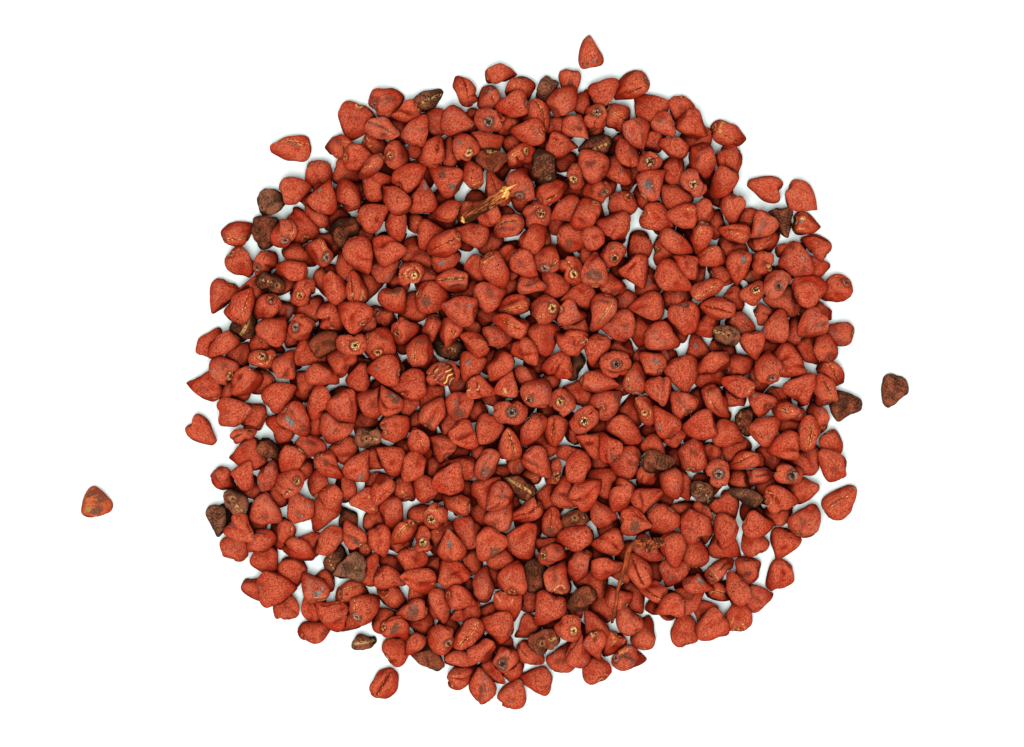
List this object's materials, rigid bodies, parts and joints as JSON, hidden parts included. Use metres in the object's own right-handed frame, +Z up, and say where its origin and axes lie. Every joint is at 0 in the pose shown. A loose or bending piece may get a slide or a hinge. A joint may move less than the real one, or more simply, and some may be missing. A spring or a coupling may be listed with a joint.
{
  "type": "loose heap of annatto seeds",
  "caption": "Thin loose heap of dried annatto seeds lying flat, with stray seeds beside it and a broken twig and a dried stalk on top.",
  "frame": {"origin": "on the surface that the heap lies on, below the middle of the heap", "axes": "+Z up, +X to the right and +Y away from the viewer's side in the view from above"},
  "size_m": [0.1162, 0.0943, 0.0096],
  "materials": {
    "seed_red": "matte powdery brick red",
    "seed_brown": "matte dark brown, wrinkled",
    "twig_bark": "matte red-brown bark",
    "stalk_brown": "matte dried brown"
  },
  "bodies": {
    "root": {"seed_heap": "seed_red", "stray_seed_1": "seed_red", "stray_seed_2": "seed_red", "stray_seed_3": "seed_red", "stray_seed_4": "seed_brown", "stray_seed_5": "seed_red", "stray_seed_6": "seed_red", "stray_seed_7": "seed_red", "stray_seed_8": "seed_red", "twig": "twig_bark", "stalk": "stalk_brown"}
  },
  "joints": []
}
